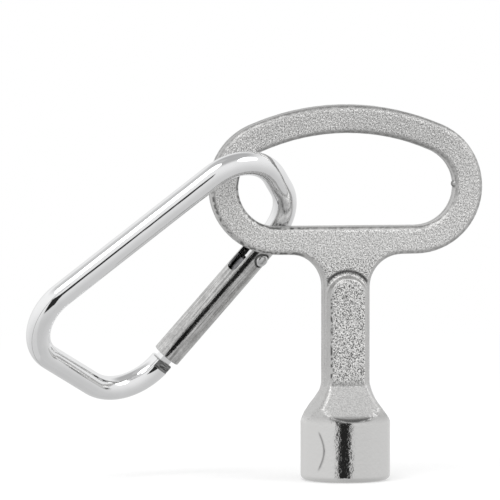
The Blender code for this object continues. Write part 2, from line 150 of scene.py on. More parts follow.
# Gate: X runs from the hinge to the nose, +Z is the loop's outside
TUBE_RADIUS = 2.25 * MM
TUBE_BORE = 1.85 * MM
TUBE_START = -2.6 * MM
TUBE_END = 21.3 * MM
TUBE_LIP = 0.13 * MM
LIP_STEPS = 5
TUBE_PARTS = 12
TUBE_SIDES = 96
STOP_FACES = (15.0 * MM, 15.6 * MM)
STOP_HOLE = 0.4 * MM
HINGE_SLOT_END = 4.2 * MM
HINGE_SLOT_HALF = 1.0 * MM
HINGE_SLOT_ROUND = 0.8 * MM
TONGUE_HALF = 0.7 * MM
TONGUE_REACH = 1.2 * MM
TONGUE_END = 1.4 * MM
TONGUE_CORNER = 0.2 * MM
TONGUE_LIFT = 0.7 * MM
TONGUE_STEPS = 10
NOSE_HEAD = (18.9 * MM, 19.8 * MM)
NOSE_HEAD_HALF = 1.1 * MM
NOSE_HEAD_ROUND = 0.22 * MM
NOSE_NECK_HALF = 0.65 * MM
NOSE_NECK_OVERLAP = 0.3 * MM
NOSE_HALF_HEIGHT = 1.15 * MM
MILLED_DEPTH = -0.95 * MM
MILLED_END = 23.5 * MM
SLOT_GAP = 0.3 * MM
RIVET_HOLE = 0.775 * MM
RIVET_SHANK = 0.65 * MM
RIVET_HEAD = 1.0 * MM
RIVET_SEAT = 2.13 * MM
RIVET_RIM = 0.1 * MM
RIVET_RISE = 0.45 * MM
RIVET_STEPS = 8
RIVET_SIDES = 40
PEEN_SIZE = 0.7 * MM
PEEN_DEPTH = 0.03 * MM
SEAT_RADIUS = 1.15 * MM
SEAT_GAP = 0.03 * MM
HOLE_SIDES = 32
CUT_PAST = 4.0 * MM

# Finishes: how bright each is, and the size of its marks
BLACK = (0.0, 0.0, 0.0)
WARM_WHITE = (1.0, 0.995, 0.985)
SPECK_SIZE = 0.20 * MM
SPECK_LEVELS = (0.10, 1.34)
SPECK_FADES = (33.0 * MM, 36.0 * MM)
LOOP_DARKENS = (38.0 * MM, 54.0 * MM)
PIT_SIZE = 0.30 * MM
DENT_SIZE = 0.42 * MM
RIPPLE_SIZE = 0.70 * MM
CLOUD_SIZE = 7.0 * MM
WALL_LEVEL = 0.60
PLATED_LEVEL = 0.71
SHADE_AND_MARKS_LEVEL = 0.07
HAZE_SIZE = 2.5 * MM
HAIRLINE_SIZES = (9 * MM, 0.25 * MM, 0.25 * MM)
MILLED_SKIN = (0.01 * MM, 0.03 * MM)
MILLED_STARTS = (20.0 * MM, 20.1 * MM)
TOOL_MARK_SIZES = (0.16 * MM, 2 * MM, 1.2 * MM)
STREAK_SIZES = (6 * MM, 0.28 * MM, 0.28 * MM)
WORN_SPECK_SIZE = 0.35 * MM
PATCH_SIZE = 2.2 * MM
SEAT_SHADE_RING = (0.06 * MM, 0.20 * MM)
WEAR_SIZE = 0.5 * MM
NICK_SIZE = 0.12 * MM

# Floor: a disc, with its light
FLOOR_RADIUS = 6.0
FLOOR_DROP = 0.02 * MM
FLOOR_FADES = (0.06, 0.30)
FLOOR_GLOW = 0.32
FLOOR_GREY = 0.80

# Light tent, in degrees: azimuth 0 is the front and 90 the right, elevation 90 is overhead.
# A wall or door runs from its first angle to its second, and the third is how soft its edges are.
TENT_RISE = (-60, 30)
TENT_LEVELS = (0.58, 0.88)
LEFT_WALL = (-150, -34, 8)
LEFT_WALL_EXTRA = 0.08
RIGHT_WALL = (58, 120, 10)
RIGHT_WALL_EXTRA = 0.02
ROOF_STARTS = (38, 62)
ROOF_LOSS = 0.42
DOOR_ACROSS = (-29, 5, 1.5)
DOOR_UP = (-20, 15, 1.5)
DOOR_LOSS = 0.97

# Lamps
LAMP_DISTANCE = 1.2
LAMP_SIZE = 0.7


# ---------- Frames of the carabiner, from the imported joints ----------

def gate_matrix():
    """The gate's own frame: its hinge is the Y axis and the plunger's slide is the X axis."""
    joints = {joint["name"]: joint for joint in frame["joints"]}
    along = Vector(joints["plunger_slide"]["axis"]).normalized()
    hinge = Vector(joints["gate_hinge"]["axis"]).normalized()
    turn = Matrix((along, hinge, along.cross(hinge))).transposed()
    return Matrix.Translation(joints["gate_hinge"]["pos_m"]) @ turn.to_4x4()


GATE = gate_matrix()
LOOP = GATE @ Matrix.Rotation(GATE_SPLAY - pi, 4, "Y")


# ---------- Mesh tools ----------

def piece_from(name, form, body, node, place=None, sharp=radians(40)):
    """Turn a bmesh into a smooth-shaded piece that rides on a body and replaces a node."""
    bmesh.ops.recalc_face_normals(form, faces=form.faces)
    mesh = bpy.data.meshes.new(name)
    form.to_mesh(mesh)
    form.free()
    if place:
        mesh.transform(place)
    mesh.shade_smooth()
    mesh.set_sharp_from_angle(angle=sharp)
    return piece_of(name, mesh, body, node)


def piece_of(name, mesh, body, node):
    """Put a mesh in the scene as a piece that rides on a body and replaces a node."""
    piece = bpy.data.objects.new(name, mesh)
    bpy.context.scene.collection.objects.link(piece)
    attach(piece, body)
    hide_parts(node)
    return piece


def loft(rings, closed=False):
    """Skin rings of equal length; capped at both ends, or joined end to end if closed."""
    form = bmesh.new()
    loops = [[form.verts.new(point) for point in ring] for ring in rings]
    count = len(loops[0])
    pairs = list(zip(loops, loops[1:]))
    if closed:
        pairs.append((loops[-1], loops[0]))
    for low, high in pairs:
        for k in range(count):
            after = (k + 1) % count
            form.faces.new((low[k], low[after], high[after], high[k]))
    if not closed:
        form.faces.new(loops[0])
        form.faces.new(loops[-1])
    bmesh.ops.recalc_face_normals(form, faces=form.faces)
    return form


def turned(profile, sides, closed=False):
    """Turn a profile of (x, radius) about the X axis."""
    angles = [2 * pi * k / sides for k in range(sides)]
    return loft([[(x, r * cos(a), r * sin(a)) for a in angles] for x, r in profile], closed)


def box_form(low, high, bevel=0.0, along=None, segments=5):
    """A box between two corners, with its edges rounded, or only those along one axis."""
    form = bmesh.new()
    bmesh.ops.create_cube(form, size=1.0)
    bmesh.ops.scale(form, verts=form.verts, vec=Vector(high) - Vector(low))
    bmesh.ops.translate(form, verts=form.verts, vec=(Vector(high) + Vector(low)) / 2)
    if bevel:
        chosen = list(form.edges)
        if along is not None:
            chosen = [e for e in chosen if abs((e.verts[1].co - e.verts[0].co).normalized()[along]) > 0.9]
        bmesh.ops.bevel(form, geom=chosen, offset=bevel, segments=segments, profile=0.5, affect="EDGES")
    return form


def turn_to_hinge(form):
    """Move what was turned about X so that it runs along the hinge, Y."""
    bmesh.ops.rotate(form, verts=form.verts, matrix=Matrix.Rotation(pi / 2, 3, "Z"))
    return form


def guide(form):
    """An object that only feeds a Boolean."""
    mesh = bpy.data.meshes.new("guide")
    form.to_mesh(mesh)
    form.free()
    thing = bpy.data.objects.new("guide", mesh)
    bpy.context.scene.collection.objects.link(thing)
    return thing


def carve(form, cuts=(), adds=()):
    """Boolean a bmesh with others and return the result as a bmesh."""
    base = guide(form)
    others = []
    for operation, forms in (("UNION", adds), ("DIFFERENCE", cuts)):
        for other in forms:
            others.append(guide(other))
            step = base.modifiers.new("step", "BOOLEAN")
            step.operation = operation
            step.object = others[-1]
    result = bmesh.new()
    result.from_object(base, bpy.context.evaluated_depsgraph_get())
    for thing in [base, *others]:
        bpy.data.objects.remove(thing)
    bmesh.ops.remove_doubles(result, verts=result.verts, dist=1e-7)
    return result


# ---------- Key casting ----------

def welded_copy(node):
    """A CAD node's mesh as one connected skin."""
    form = bmesh.new()
    form.from_mesh(frame["nodes"][node].data)
    bmesh.ops.remove_doubles(form, verts=form.verts, dist=1e-6)
    return form


def remeshed(form, voxel):
    """The same shape as an even fine mesh, so that it can be smoothed and textured."""
    thing = guide(form)
    step = thing.modifiers.new("even", "REMESH")
    step.mode = "VOXEL"
    step.voxel_size = voxel
    fine = thing.evaluated_get(bpy.context.evaluated_depsgraph_get())
    mesh = bpy.data.meshes.new_from_object(fine)
    bpy.data.objects.remove(thing)
    return mesh


def vertex_array(mesh):
    co = np.empty(len(mesh.vertices) * 3, np.float32)
    mesh.vertices.foreach_get("co", co)
    return co.reshape(-1, 3).astype(float)


def normal_array(mesh):
    normals = np.empty(len(mesh.vertices) * 3, np.float32)
    mesh.vertex_normals.foreach_get("vector", normals)
    return normals.reshape(-1, 3).astype(float)


def relax(mesh, co, rounds, push=0.5, pull=-0.53):
    """Smooth points along the mesh's edges without shrinking the shape."""
    ends = np.empty(len(mesh.edges) * 2, np.int32)
    mesh.edges.foreach_get("vertices", ends)
    a, b = ends.reshape(-1, 2).T
    share = np.bincount(np.concatenate([a, b]), minlength=len(co)).reshape(-1, 1)
    for k in range(2 * rounds):
        total = np.zeros_like(co)
        for axis in range(3):
            total[:, axis] = np.bincount(a, co[b, axis], len(co)) + np.bincount(b, co[a, axis], len(co))
        co = co + (push if k % 2 == 0 else pull) * (total / share - co)
    return co


def true_barrel(co):
    """Put the barrel's skin on its exact circle, with its rounded lower edge."""
    reach = np.hypot(co[:, 0], co[:, 1])
    z = np.clip(co[:, 2], 0.0, BARREL_TOP)
    lift = np.clip(1 - z / BARREL_EDGE, 0.0, 1.0)
    target = BARREL_RADIUS - BARREL_EDGE * (1 - np.sqrt(1 - lift**2))
    chosen = (co[:, 2] < BARREL_TOP) & (reach > BARREL_RADIUS - BARREL_EDGE) & (co[:, 2] > END_FACE)
    scale = np.where(chosen, target / np.maximum(reach, MM), 1.0)
    co[:, :2] *= scale[:, None]
    return co


def field(points, size, seed):
    """Smooth noise from -1 to 1 at each point, with features of about the given size."""
    scale = 1 / size
    shift = Vector((seed * 17.3, seed * 5.1, seed * 9.7))
    return np.array([noise.noise(Vector(p) * scale + shift) for p in points])


def ramp(value, low, high):
    """A smooth rise from 0 at the low value to 1 at the high one."""
    t = np.clip((value - low) / (high - low), 0.0, 1.0)
    return t * t * (3 - 2 * t)


def fade(value, low, high):
    """A smooth fall from 1 at the low value to 0 at the high one."""
    return 1 - ramp(value, low, high)


def between(value, starts, ends):
    """A smooth rise over the first pair of values and a fall over the second."""
    return ramp(value, *starts) * fade(value, *ends)


def add_value(mesh, name, values):
    mesh.attributes.new(name, "FLOAT", "POINT").data.foreach_set("value", values.astype(np.float32))


def nub_form():
    """A small nub left by the die on the loop's inner right wall."""
    form = bmesh.new()
    bmesh.ops.create_icosphere(form, subdivisions=3, radius=1.0)
    bmesh.ops.scale(form, verts=form.verts, vec=NUB_RADII)
    bmesh.ops.translate(form, verts=form.verts, vec=NUB_CENTRE)
    return form


def barrel_seam(co):
    """A fine raised line, slightly curved, down the left of the barrel's front and back."""
    line = SEAM_ACROSS + SEAM_BOW * np.sin((co[:, 2] - SEAM_FOOT) / SEAM_LENGTH * pi)
    off_line = (co[:, 0] - line) / SEAM_WIDTH
    outer = np.hypot(co[:, 0], co[:, 1]) > BARREL_RADIUS - BARREL_SKIN
    return np.exp(-off_line**2) * between(co[:, 2], SEAM_STARTS, SEAM_ENDS) * outer


def rib_arch_distance(co):
    """How far a point is from the rib's round top, seen from the front."""
    centre = RIB_TOP - RIB_RADIUS
    return np.abs(np.hypot(co[:, 0], co[:, 2] - centre) - RIB_RADIUS)


def cast_shade_and_marks(co, facing, seam):
    """Painted shade at each point, from 0 to 1, in corners, along the rib's edge and on the loop's rims;
    and darker lines along the parting line and the barrel's seam and round the nub.
    """
    x, depth, z = co[:, 0], np.abs(co[:, 1]), co[:, 2]
    dashes = ramp(field(co, DASH_SIZE, 3), *DASHES)
    # Painted shade in the corner round the rib's arched top.
    arch_shade = fade(rib_arch_distance(co), *SHADE_LINE)
    arch_shade *= ramp(z, RIB_TOP - RIB_RADIUS, RIB_TOP - 0.5 * RIB_RADIUS)
    arch_shade *= ramp(depth, *ARCH_DEPTH)
    # Painted shade in the crescent-shaped corner where the stem's flat meets the barrel.
    smile = CRESCENT_TOP - CRESCENT_SAG * (1 - (x / CRESCENT_HALF) ** 2)
    crescent_shade = fade(np.abs(z - smile), *SHADE_LINE)
    crescent_shade *= 0.8 - 0.8 * ramp(np.abs(x), *CRESCENT_ENDS)
    crescent_shade *= ramp(depth, *CRESCENT_DEPTH)
    # Painted shade, in dashes, along the crease at the rib's left edge.
    rib_edge_shade = fade(np.abs(x + RIB_FACE_HALF - RIB_EDGE_INSET), *RIB_EDGE_LINE)
    rib_edge_shade *= ramp(depth, *RIB_EDGE_DEPTH) * dashes
    rib_edge_shade *= between(z, RIB_EDGE_STARTS, RIB_EDGE_ENDS)
    # Painted shade, in dashes, on the loop's bevelled rims, strongest low on the left.
    rim_shade = between(facing, RIM_STARTS, RIM_ENDS) * dashes
    rim_shade *= ramp(z, *RIM_HEIGHT)
    rim_shade *= 0.35 + 0.5 * fade(z, *LOW_LOOP) * fade(x, *LEFT_LOOP)
    # Darker round the nub and along the loop's parting line; the return adds the barrel's seam.
    nub = fade(np.linalg.norm(co - np.array(NUB_CENTRE), axis=1), *NUB_DARKENING)
    parting = fade(depth, *PARTING_LINE)
    parting *= ramp(z, *PARTING_HEIGHT) * fade(facing, *PARTING_FACING)
    parting *= 0.35 + 0.65 * dashes
    return np.maximum.reduce([arch_shade, crescent_shade, rib_edge_shade, rim_shade, parting, 0.7 * seam, 0.8 * nub])


def cast_key():
    """The key: the CAD's solid as an even mesh with a cast surface, and values for its finishes and its
    painted shade.
    """
    mesh = remeshed(carve(welded_copy("key_body"), adds=[nub_form()]), CAST_VOXEL)
    co = true_barrel(relax(mesh, vertex_array(mesh), RELAX_ROUNDS))
    mesh.vertices.foreach_set("co", co.ravel())
    mesh.update()
    normals = normal_array(mesh)
    facing = np.abs(normals[:, 1])
    above = ramp(co[:, 2], *SLOPE_STARTS)
    blasted = ramp(facing, *FLAT_FACING) * ramp(co[:, 2], *STEM_STARTS)
    slope = ramp(facing, *SLOPE_FACING) * above * fade(co[:, 2], *STEM_STARTS)
    seam = barrel_seam(co)
    lumps = field(co, LUMP_SIZE, 1) * LUMP_HEIGHT
    grain = field(co, GRAIN_SIZE, 2) * GRAIN_HEIGHT
    raised = above * (lumps + grain * (0.3 + 0.7 * blasted)) + seam * SEAM_RISE
    co += normals * raised[:, None]
    mesh.vertices.foreach_set("co", co.ravel())
    inside = (np.hypot(co[:, 0], co[:, 1]) < SOCKET_REACH) & (co[:, 2] < SOCKET_FLOOR + MM)
    inside &= co[:, 2] > SOCKET_MOUTH
    add_value(mesh, "blasted", np.maximum.reduce([blasted, 0.4 * slope, 0.18 * above]))
    add_value(mesh, "slope", slope)
    add_value(mesh, "plated", 1 - above)
    # Painted shade in corners and on rims, and darker die marks, for the casting's colour.
    add_value(mesh, "shade_and_marks", cast_shade_and_marks(co, facing, seam))
    add_value(mesh, "socket", inside.astype(float))
    mesh.shade_smooth()
    return piece_of("cast_key", mesh, "key", "key_body")


# ---------- Carabiner rod ----------

def rounded_path(corners, radii, step=radians(2.0)):
    """An open path through the corners, each inner corner turned into an arc."""
    path = [Vector(corners[0])]
    for before, corner, after, radius in zip(corners, corners[1:], corners[2:], radii):
        to_before = (Vector(before) - Vector(corner)).normalized()
        to_after = (Vector(after) - Vector(corner)).normalized()
        half = to_before.angle(to_after) / 2
        centre = Vector(corner) + (to_before + to_after).normalized() * radius / sin(half)
        first = Vector(corner) + to_before * radius / tan(half) - centre
        last = Vector(corner) + to_after * radius / tan(half) - centre
        start = atan2(first.y, first.x)
        turn = (atan2(last.y, last.x) - start + pi) % (2 * pi) - pi
        steps = ceil(abs(turn) / step)
        for k in range(steps + 1):
            a = start + turn * k / steps
            path.append(centre + Vector((cos(a), sin(a))) * radius)
    return path + [Vector(corners[-1])]


def loop_path():
    """The rod's middle line, from the hinge's shoulder round to the nose's shoulder."""
    splay = Vector((cos(GATE_SPLAY), sin(GATE_SPLAY)))
    slope = tan(GATE_SPLAY)
    corners = [
        splay * -HINGE_SHOULDER,
        (HINGE_CORNER_U, HINGE_CORNER_U * slope),
        (TOP_U, SPINE_V_TOP),
        (BOTTOM_U, SPINE_V_BOTTOM),
        (NOSE_CORNER_U, NOSE_CORNER_U * slope),
        splay * -NOSE_SHOULDER,
    ]
    return rounded_path(corners, BENDS)


def spaced(path, gap):
    """Add points so that no run of the path is longer than the gap."""
    made = [path[0]]
    for start, end in zip(path, path[1:]):
        parts = max(1, ceil((end - start).length / gap))
        made += [start.lerp(end, k / parts) for k in range(1, parts + 1)]
    return made


def rod_form():
    """The bent rod: a round section carried along the path, with eased ends."""
    path = spaced(loop_path(), ROD_STEP)
    first = (path[1] - path[0]).normalized()
    last = (path[-1] - path[-2]).normalized()
    rings = []
    for k, point in enumerate(path):
        along = (path[min(k + 1, len(path) - 1)] - path[max(k - 1, 0)]).normalized()
        rings.append((point, along, ROD_RADIUS))
    rings[0] = (path[0] + first * ROD_EASE, first, ROD_RADIUS)
    rings.insert(0, (path[0], first, ROD_RADIUS - ROD_EASE))
    rings[-1] = (path[-1] - last * ROD_EASE, last, ROD_RADIUS)
    rings.append((path[-1], last, ROD_RADIUS - ROD_EASE))
    skins = []
    for point, along, radius in rings:
        side = Vector((-along.y, along.x))
        skin = []
        for k in range(ROD_SIDES):
            a = 2 * pi * k / ROD_SIDES
            flat = point + side * radius * cos(a)
            skin.append((flat.x, radius * sin(a), flat.y))
        skins.append(skin)
    form = loft(skins)
    bmesh.ops.transform(form, matrix=GATE.inverted() @ LOOP, verts=form.verts)
    return form


def tongue_form():
    """The flat at the hinge end, round at its outer corner."""
    back = HINGE_SHOULDER - MM
    low = [
        (back, -TONGUE_REACH),
        (TONGUE_END - TONGUE_CORNER, -TONGUE_REACH),
        (TONGUE_END, TONGUE_CORNER - TONGUE_REACH),
    ]
    lift = atan2(TONGUE_LIFT, TONGUE_REACH)
    turn = [lift + (pi / 2 - lift) * k / TONGUE_STEPS for k in range(TONGUE_STEPS + 1)]
    outline = low + [(TONGUE_END, 0.0)] + [(TONGUE_REACH * cos(a), TONGUE_REACH * sin(a)) for a in turn]
    outline.append((back, TONGUE_REACH))
    return loft([[(x, y, z) for x, z in outline] for y in (-TONGUE_HALF, TONGUE_HALF)])


def cross_hole():
    """A cutter for the rivet's hole, right through along the hinge."""
    return turn_to_hinge(turned(((-CUT_PAST, RIVET_HOLE), (CUT_PAST, RIVET_HOLE)), HOLE_SIDES))


def carabiner_rod():
    """The rod with its tongue at the hinge, its T-shaped hook and milled flat at the nose."""
    neck = box_form(
        (NOSE_HEAD[1] - NOSE_NECK_OVERLAP, -NOSE_NECK_HALF, -NOSE_HALF_HEIGHT),
        (NOSE_SHOULDER + MM, NOSE_NECK_HALF, NOSE_HALF_HEIGHT),
    )
    head = box_form(
        (NOSE_HEAD[0], -NOSE_HEAD_HALF, -NOSE_HALF_HEIGHT),
        (NOSE_HEAD[1], NOSE_HEAD_HALF, NOSE_HALF_HEIGHT),
        NOSE_HEAD_ROUND,
        along=1,
    )
    flat = box_form((NOSE_SHOULDER - MM, -CUT_PAST, -CUT_PAST), (MILLED_END, MILLED_DEPTH, CUT_PAST))
    form = carve(rod_form(), cuts=[cross_hole(), flat], adds=[tongue_form(), neck, head])
    return piece_from("carabiner_rod", form, "carabiner", "carabiner_body", GATE)


# ---------- Gate ----------

def gate_profile():
    """The tube's wall as (x, radius), outside and then inside, with rounded lips and an inner stop."""
    turns = [k * pi / (2 * LIP_STEPS) for k in range(LIP_STEPS + 1)]
    insets = [(TUBE_LIP * (1 - sin(a)), TUBE_LIP * (1 - cos(a))) for a in turns]
    outer_start = [(TUBE_START + x, TUBE_RADIUS - r) for x, r in reversed(insets)]
    outer_end = [(TUBE_END - x, TUBE_RADIUS - r) for x, r in insets]
    span = TUBE_END - TUBE_START - 2 * TUBE_LIP
    outer = [(TUBE_START + TUBE_LIP + span * k / TUBE_PARTS, TUBE_RADIUS) for k in range(1, TUBE_PARTS)]
    profile = [(TUBE_START, TUBE_BORE)] + outer_start + outer + outer_end + [(TUBE_END, TUBE_BORE)]
    profile += [(STOP_FACES[1], TUBE_BORE), (STOP_FACES[1], STOP_HOLE)]
    profile += [(STOP_FACES[0], STOP_HOLE), (STOP_FACES[0], TUBE_BORE)]
    return profile


def gate_tube():
    """The gate's tube, slotted for the tongue and the hook, with a flat seat for each rivet head."""
    hinge_slot = box_form(
        (TUBE_START - CUT_PAST, -HINGE_SLOT_HALF, -CUT_PAST),
        (HINGE_SLOT_END, HINGE_SLOT_HALF, 0.0),
        HINGE_SLOT_ROUND,
        along=2,
        segments=8,
    )
    neck = NOSE_NECK_HALF + SLOT_GAP
    head = NOSE_HEAD_HALF + SLOT_GAP
    nose_slot = box_form((NOSE_HEAD[1] - SLOT_GAP, -neck, 0.0), (TUBE_END + CUT_PAST, neck, CUT_PAST))
    nose_head_slot = box_form(
        (NOSE_HEAD[0] - SLOT_GAP, -head, 0.0),
        (NOSE_HEAD[1] + SLOT_GAP, head, CUT_PAST),
    )
    seat = RIVET_SEAT - SEAT_GAP
    front_seat = turn_to_hinge(turned(((-CUT_PAST, SEAT_RADIUS), (-seat, SEAT_RADIUS)), RIVET_SIDES))
    back_seat = turn_to_hinge(turned(((seat, SEAT_RADIUS), (CUT_PAST, SEAT_RADIUS)), RIVET_SIDES))
    cuts = [hinge_slot, nose_slot, nose_head_slot, cross_hole(), front_seat, back_seat]
    form = carve(turned(gate_profile(), TUBE_SIDES, True), cuts=cuts)
    return piece_from("gate_tube", form, "gate", "gate_sleeve", GATE, radians(30))


def peened_rivet():
    """The hinge's pin, its two heads hammered into slightly uneven domes."""
    rise = [k * pi / (2 * RIVET_STEPS) for k in range(RIVET_STEPS)]
    seat = RIVET_SEAT + RIVET_RIM
    dome = [(seat + RIVET_RISE * sin(a), RIVET_HEAD * cos(a)) for a in rise]
    right = [(RIVET_SEAT, RIVET_SHANK), (RIVET_SEAT, RIVET_HEAD)] + dome
    left = [(-x, r) for x, r in reversed(right)]
    form = turn_to_hinge(turned(left + right, RIVET_SIDES))
    for vert in form.verts:
        if abs(vert.co.y) > seat:
            vert.co.y += PEEN_DEPTH * noise.noise(vert.co / PEEN_SIZE)
    return piece_from("peened_rivet", form, "carabiner", "hinge_rivet", GATE, radians(50))


# ---------- Materials ----------

class Nodes:
    """A short way to write a node tree."""

    def __init__(self, tree):
        self.tree = tree

    def node(self, kind, inputs=(), **settings):
        made = self.tree.nodes.new(kind)
        for key, value in settings.items():
            setattr(made, key, value)
        for key, value in dict(inputs).items():
            self.feed(made.inputs[key], value)
        return made

    def feed(self, socket, value):
        if isinstance(value, bpy.types.NodeSocket):
            self.tree.links.new(value, socket)
        else:
            socket.default_value = value

    def math(self, operation, a, b=0.0):
        return self.node("ShaderNodeMath", {0: a, 1: b}, operation=operation).outputs[0]

    def times(self, a, b):
        return self.math("MULTIPLY", a, b)

    def plus(self, a, b):
        return self.math("ADD", a, b)

    def minus(self, a, b):
        return self.math("SUBTRACT", a, b)

    def split(self, vector):
        """A vector's X, Y and Z."""
        return self.node("ShaderNodeSeparateXYZ", {0: vector}).outputs

    def length(self, vector):
        return self.node("ShaderNodeVectorMath", {0: vector}, operation="LENGTH").outputs["Value"]

    def span(self, value, low, high, to_low=0.0, to_high=1.0, **settings):
        """Carry a number from one range over to another, and no further."""
        inputs = {"Value": value, "From Min": low, "From Max": high, "To Min": to_low, "To Max": to_high}
        return self.node("ShaderNodeMapRange", inputs, **settings).outputs["Result"]


class Shader(Nodes):
    """A short way to write a material's nodes."""

    def __init__(self, name):
        self.material = bpy.data.materials.new(name)
        self.material.use_nodes = True
        super().__init__(self.material.node_tree)
        self.surface = self.tree.nodes["Principled BSDF"]

    def set(self, **values):
        for key, value in values.items():
            self.feed(self.surface.inputs[key.replace("_", " ")], value)

    def point(self, place=None):
        """Position on the object in metres, or in a given frame."""
        made = self.node("ShaderNodeTexCoord").outputs["Object"]
        if place is None:
            return made
        inverse = place.inverted()
        inputs = {"Vector": made, "Location": inverse.translation, "Rotation": inverse.to_euler()}
        return self.node("ShaderNodeMapping", inputs).outputs["Vector"]

    def scaled(self, vector, factors):
        return self.node("ShaderNodeMapping", {"Vector": vector, "Scale": factors}).outputs["Vector"]

    def noise(self, vector, size, detail=2.0, rough=0.5):
        """Cloudy noise with features of about the given size."""
        inputs = {"Vector": vector, "Scale": 1 / size, "Detail": detail, "Roughness": rough}
        return self.node("ShaderNodeTexNoise", inputs).outputs["Fac"]

    def stretched_noise(self, vector, sizes, detail, rough):
        """Cloudy noise with features of a different size along X, Y and Z."""
        return self.noise(self.scaled(vector, [1 / size for size in sizes]), 1.0, detail, rough)

    def cells(self, vector, size):
        """Distance to the nearest of many scattered points about the given size apart."""
        inputs = {"Vector": vector, "Scale": 1 / size}
        return self.node("ShaderNodeTexVoronoi", inputs, feature="F1").outputs["Distance"]

    def mix(self, factor, a, b):
        """Mix two numbers."""
        return self.node("ShaderNodeMix", {0: factor, 2: a, 3: b}, data_type="FLOAT").outputs[0]

    def mix_colours(self, factor, a, b):
        return self.node("ShaderNodeMix", {0: factor, 6: a, 7: b}, data_type="RGBA").outputs[2]

    def tint(self, value, low, high):
        """A number from 0 to 1 as a colour between two colours."""
        made = self.node("ShaderNodeValToRGB", {"Fac": value})
        made.color_ramp.elements[0].color = (*low, 1.0)
        made.color_ramp.elements[1].color = (*high, 1.0)
        return made.outputs["Color"]

    def value(self, name):
        """A value that the mesh carries at each of its points."""
        return self.node("ShaderNodeAttribute", attribute_name=name).outputs["Fac"]

    def bump(self, height, strength, distance, normal=None):
        inputs = {"Height": height, "Strength": strength, "Distance": distance}
        if normal:
            inputs["Normal"] = normal
        return self.node("ShaderNodeBump", inputs).outputs["Normal"]


def cast_zinc():
    """Shot-blasted flats, smoother edges, and a plated, slightly rippled barrel."""
    s = Shader("cast_zinc")
    p = s.point()
    blasted, slope, plated = s.value("blasted"), s.value("slope"), s.value("plated")
    shade_and_marks, socket = s.value("shade_and_marks"), s.value("socket")
    height = s.split(p)[2]
    speck = s.span(s.noise(p, SPECK_SIZE, 2.0, 0.6), 0.38, 0.60, *SPECK_LEVELS)
    speck = s.mix(s.span(height, *SPECK_FADES, 0.0, 0.42), speck, 0.86)
    level = s.mix(s.span(blasted, 0.1, 1.0), WALL_LEVEL, speck)
    level = s.times(level, s.span(s.noise(p, CLOUD_SIZE, 3.0, 0.5), 0.3, 0.7, 0.94, 1.05))
    level = s.times(level, s.span(height, *LOOP_DARKENS, 1.0, 0.84))
    level = s.mix(slope, level, s.times(level, 0.92))
    level = s.mix(plated, level, PLATED_LEVEL)
    # Painted shade in the casting's corners and on its rims, and darker lines along its die's marks.
    level = s.mix(s.times(shade_and_marks, 0.92), level, SHADE_AND_MARKS_LEVEL)
    rough = s.mix(blasted, 0.40, 0.46)
    rough = s.mix(slope, rough, 0.42)
    rough = s.mix(plated, rough, 0.045)
    rough = s.mix(socket, rough, 0.28)
    pits = s.noise(p, PIT_SIZE, 3.0, 0.7)
    dents = s.cells(p, DENT_SIZE)
    ripple = s.noise(p, RIPPLE_SIZE, 4.0, 0.56)
    fine = s.bump(s.plus(pits, s.times(dents, 0.6)), s.mix(blasted, 0.12, 0.9), 0.14 * MM)
    wavy = s.bump(ripple, s.mix(plated, 0.10, 0.55), 0.10 * MM, fine)
    s.set(Base_Color=s.tint(level, BLACK, WARM_WHITE), Metallic=1.0, Roughness=rough, Normal=wavy)
    return s.material


def bright_aluminium():
    """Polished rod with hairlines along it, dulled by handling, and a milled flat at the nose with tool
    marks, painted dark as shade.
    """
    s = Shader("bright_aluminium")
    haze = s.noise(s.point(), HAZE_SIZE, 4.0, 0.55)
    hairlines = s.stretched_noise(s.point(LOOP), HAIRLINE_SIZES, 3.0, 0.6)
    polished = s.tint(haze, (0.86, 0.865, 0.87), (0.95, 0.95, 0.955))
    at = s.point(GATE)
    along, across = s.split(at)[0:2]
    off_flat = s.math("ABSOLUTE", s.minus(across, MILLED_DEPTH))
    milled = s.times(s.span(off_flat, *MILLED_SKIN, 1.0, 0.0), s.span(along, *MILLED_STARTS))
    tool_marks = s.stretched_noise(at, TOOL_MARK_SIZES, 3.0, 0.6)
    # Painted shade: the milled flat is coloured near black, with its tool marks, for the shade in the
    # notch at the nose.
    shaded_flat = s.tint(s.span(tool_marks, 0.35, 0.65), (0.05, 0.05, 0.05), (0.42, 0.42, 0.42))
    s.set(
        Base_Color=s.mix_colours(milled, polished, shaded_flat),
        Metallic=1.0,
        Roughness=s.mix(milled, s.span(haze, 0.3, 0.7, 0.025, 0.06), 0.30),
        Normal=s.bump(hairlines, 0.10, 0.05 * MM),
    )
    return s.material


def brushed_gate():
    """Plated tube: streaks along it, worn speckles, darker patches and a ring of painted shade round each
    rivet head.
    """
    s = Shader("brushed_gate")
    p = s.point(GATE)
    streaks = s.stretched_noise(p, STREAK_SIZES, 4.0, 0.65)
    specks = s.noise(p, WORN_SPECK_SIZE, 3.0, 0.7)
    patches = s.noise(p, PATCH_SIZE, 3.0, 0.6)
    level = s.times(s.span(streaks, 0.3, 0.7, 0.45, 1.25), s.span(specks, 0.3, 0.7, 0.75, 1.12))
    level = s.times(level, s.span(patches, 0.35, 0.65, 0.86, 1.04))
    # Painted shade: a dark ring in the gap round each rivet head.
    from_hinge = s.length(s.scaled(p, (1, 0, 1)))
    off_ring = s.math("ABSOLUTE", s.minus(from_hinge, SEAT_RADIUS))
    level = s.times(level, s.span(off_ring, *SEAT_SHADE_RING, 0.15, 1.0))
    s.set(
        Base_Color=s.tint(s.times(level, 0.70), BLACK, WARM_WHITE),
        Metallic=1.0,
        Roughness=s.span(specks, 0.35, 0.65, 0.06, 0.14),
        Normal=s.bump(s.plus(streaks, s.times(specks, 0.5)), 0.40, 0.06 * MM),
    )
    return s.material


